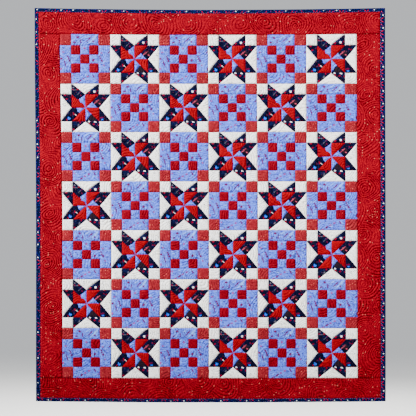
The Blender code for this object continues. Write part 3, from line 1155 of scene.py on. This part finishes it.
def buildBorders():
    material = makeRed(redCloths["border"])
    inner = quilt["bindingWidth"] - border["tuck"]
    topSeam, bottomSeam = quilt["top"], quiltHeight - quilt["bottom"]
    leftSeam, rightSeam = quilt["left"], quiltWidth - quilt["right"]
    strips = {
        "top": (inner, inner, quiltWidth - inner, topSeam),
        "bottom": (inner, bottomSeam, quiltWidth - inner, quiltHeight - inner),
        "left": (inner, topSeam, leftSeam, bottomSeam),
        "right": (rightSeam, topSeam, quiltWidth - inner, bottomSeam),
    }
    seams = [((inner, -down), (quiltWidth - inner, -down)) for down in (topSeam, bottomSeam)]
    seams += [((across, -topSeam), (across, -bottomSeam)) for across in (leftSeam, rightSeam)]
    pieces = []
    for side, (left, top, right, bottom) in strips.items():
        mesh = flatGrid(side + "Border", left, top, right, bottom, border["cell"])
        hangCloth(mesh, borderOut, seams)
        piece = addPiece(side + "Border", mesh, material, "red_cotton", "border_" + side)
        right - left
        bottom - top
        pieces.append(piece)
    print("borders:", sum(len(piece.data.polygons) for piece in pieces), "faces")


# Backing: one plain cloth behind the whole quilt, stitched through

backing = {
    "cell": 0.0058,
    "tuck": 0.004,
    "dimple": 0.0004,
    "seams": [((-1, 1), (-1, 2))],  # none on the cloth: this one lies far off it
}


def backingOut(flat, bent, gaps):
    ridge, _ = quiltedLift(bent)
    return quilt["backOut"] + backing["dimple"] * (1 - ridge / quilting["puff"])


def buildBacking():
    inner = quilt["bindingWidth"] - backing["tuck"]
    mesh = flatGrid("backing", inner, inner, quiltWidth - inner, quiltHeight - inner, backing["cell"])
    hangCloth(mesh, backingOut, backing["seams"])
    mesh.flip_normals()
    nodes = ["pieced_blocks"] + ["border_" + side for side in ("top", "bottom", "left", "right")]
    piece = addPiece("backing", mesh, makeBacking(), "pieced_cotton", *nodes)
    print("backing:", len(mesh.polygons), "faces")
    return piece


# Binding: a strip folded over each edge, mitred at its ends

binding = {
    "cell": 0.0045,
    "roll": 0.0016,
    "hem": 0.0003,  # how far the hem's fold steps in, and its crown
    "hemDrop": 0.0006,
    "pucker": 0.0003,
    # where each side starts on the cloth map, so that no two show the same stretch of print
    "mapStart": {"top": 0.0, "bottom": 2.1, "left": 4.3, "right": 6.733},
}


# The strip's section from its front hem over the edge to its back hem, as (inward, out, run along the cloth)
def bindingSection():
    width, roll, hem, drop = quilt["bindingWidth"], binding["roll"], binding["hem"], binding["hemDrop"]
    front, half = quilt["bindingOut"], quilt["bindingOut"] / 2
    points = [(width, quilt["edgeOut"] - hem), (width - hem, front - drop), (width - roll, front)]
    for share in (0.25, 0.5, 0.75, 1.0):
        inward = width - roll + (half - width + roll) * share
        points.append((inward, front + hem * math.sin(math.pi * share)))
    for step in range(1, 8):
        angle = math.pi * step / 8
        points.append((half * (1 - math.sin(angle)), half + half * math.cos(angle)))
    for share in (0.0, 0.25, 0.5, 0.75, 1.0):
        points.append((half + (width - roll - half) * share, 0))
    points += [(width - hem, drop), (width, quilt["backOut"] + hem)]
    run = [0.0]
    for before, after in zip(points, points[1:]):
        run.append(run[-1] + math.dist(before, after))
    return [(inward, out, along) for (inward, out), along in zip(points, run)]


def buildBinding(side, material):
    section = np.array(bindingSection())
    acrossCount = len(section) - 1
    upright = side in ("left", "right")
    length = quiltHeight if upright else quiltWidth
    alongCount = math.ceil(length / binding["cell"])
    mesh = gridMesh(side + "Binding", alongCount, acrossCount, Matrix.Translation((0.5, 0.5, 0)))
    grid = readPlaces(mesh)
    row = np.rint(grid[:, 1] * acrossCount).astype(int)
    inward, out, run = section[row].T
    along = inward + grid[:, 0] * (length - 2 * inward)
    pucker = binding["pucker"] * np.sin(along * 510 + 2 * np.sin(along * 37))
    pucker *= np.clip(inward / quilt["bindingWidth"], 0, 1)
    out = np.where(out > quilt["bindingOut"] / 2, out + pucker, out)
    places = {
        "top": (along, -inward),
        "bottom": (along, inward - quiltHeight),
        "left": (inward, -along),
        "right": (quiltWidth - inward, -along),
    }
    hung = hang(np.column_stack((*places[side], out)))
    loops = loopVertices(mesh)
    start = binding["mapStart"][side]
    writeMap(mesh, "cloth", np.column_stack((along[loops] + start, run[loops])))
    writePlaces(mesh, hung)
    smoothFaces(mesh)
    if side in ("bottom", "left"):
        mesh.flip_normals()
    mesh.update()
    piece = addPiece(side + "Binding", mesh, material, "navy_print_cotton", "binding_" + side)
    return piece


def buildBindings():
    material = makeBinding()
    pieces = [buildBinding(side, material) for side in ("top", "bottom", "left", "right")]
    print("bindings:", sum(len(piece.data.polygons) for piece in pieces), "faces")


def addFloor():
    bm = bmesh.new()
    placed = Matrix.Translation((0, 0, -studio["floorDown"]))
    bmesh.ops.create_circle(bm, cap_ends=True, segments=96, radius=studio["floorRadius"], matrix=placed)
    mesh = newMesh("floor", bm)
    floor = addObject("floor", mesh)
    material, nodes = newMaterial("paleFloor")
    shader = material.node_tree.nodes["Principled BSDF"]
    shader.inputs["Base Color"].default_value = (*studio["floorColour"], 1)
    shader.inputs["Roughness"].default_value = 0.85
    output = material.node_tree.nodes["Material Output"]
    place = nodes.node("TexCoord", None, None, 3)
    clear = nodes.node("BsdfTransparent")
    floorShade = Socket(nodes.tree, shader.outputs[0])
    share = place.length().smooth(*studio["floorFade"])
    faded = nodes.node("MixShader", None, {0: share, 1: floorShade, 2: clear})
    nodes.tree.links.new(faded.link, output.inputs["Surface"])
    mesh.materials.append(material)


def addStudio():
    for name in ("key", "side", "back"):
        addLight(name + "Light", **studio[name])
    world = bpy.data.worlds.new("studioSky")
    world.use_nodes = True
    sky = world.node_tree.nodes["Background"]
    sky.inputs["Color"].default_value = (*studio["skyColour"], 1)
    sky.inputs["Strength"].default_value = studio["skyStrength"]
    bpy.context.scene.world = world
    addFloor()


addCamera()
addStudio()
print("camera and studio set")
patches = buildPatchwork()
buildBorders()
buildBindings()
back = buildBacking()
print("quilt built")
